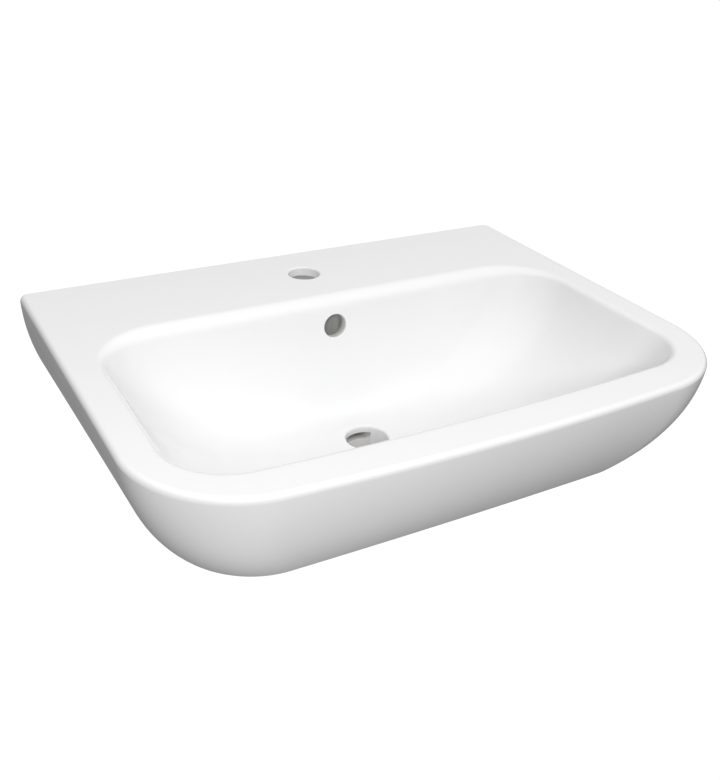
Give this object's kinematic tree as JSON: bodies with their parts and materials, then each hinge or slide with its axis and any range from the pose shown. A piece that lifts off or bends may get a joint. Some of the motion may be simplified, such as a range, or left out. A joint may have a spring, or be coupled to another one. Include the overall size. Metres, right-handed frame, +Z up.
{
  "type": "washbasin",
  "caption": "Wall-hung washbasin: glazed ceramic bowl with tap ledge, tap hole, overflow and waste hole, hung on hanger bolts in wall plugs.",
  "frame": {"origin": "on the wall's face, midway between the two wall fixings", "axes": "+Y into the wall, so the basin's front faces -Y; +Z up; +X to the right as seen from the front"},
  "size_m": [0.5998, 0.5193, 0.175],
  "materials": {
    "china": "white gloss glaze, bare fired clay on the wall side and the lower edges",
    "zinc_steel": "bright zinc plate",
    "grey_nylon": "moulded, matt",
    "white_nylon": "moulded, satin"
  },
  "bodies": {
    "root": {"basin": "china", "left_hanger_bolt": "zinc_steel", "left_wall_plug": "grey_nylon", "left_fixing_bush": "white_nylon", "left_washer": "zinc_steel", "left_nut": "zinc_steel", "right_hanger_bolt": "zinc_steel", "right_wall_plug": "grey_nylon", "right_fixing_bush": "white_nylon", "right_washer": "zinc_steel", "right_nut": "zinc_steel"}
  },
  "joints": []
}
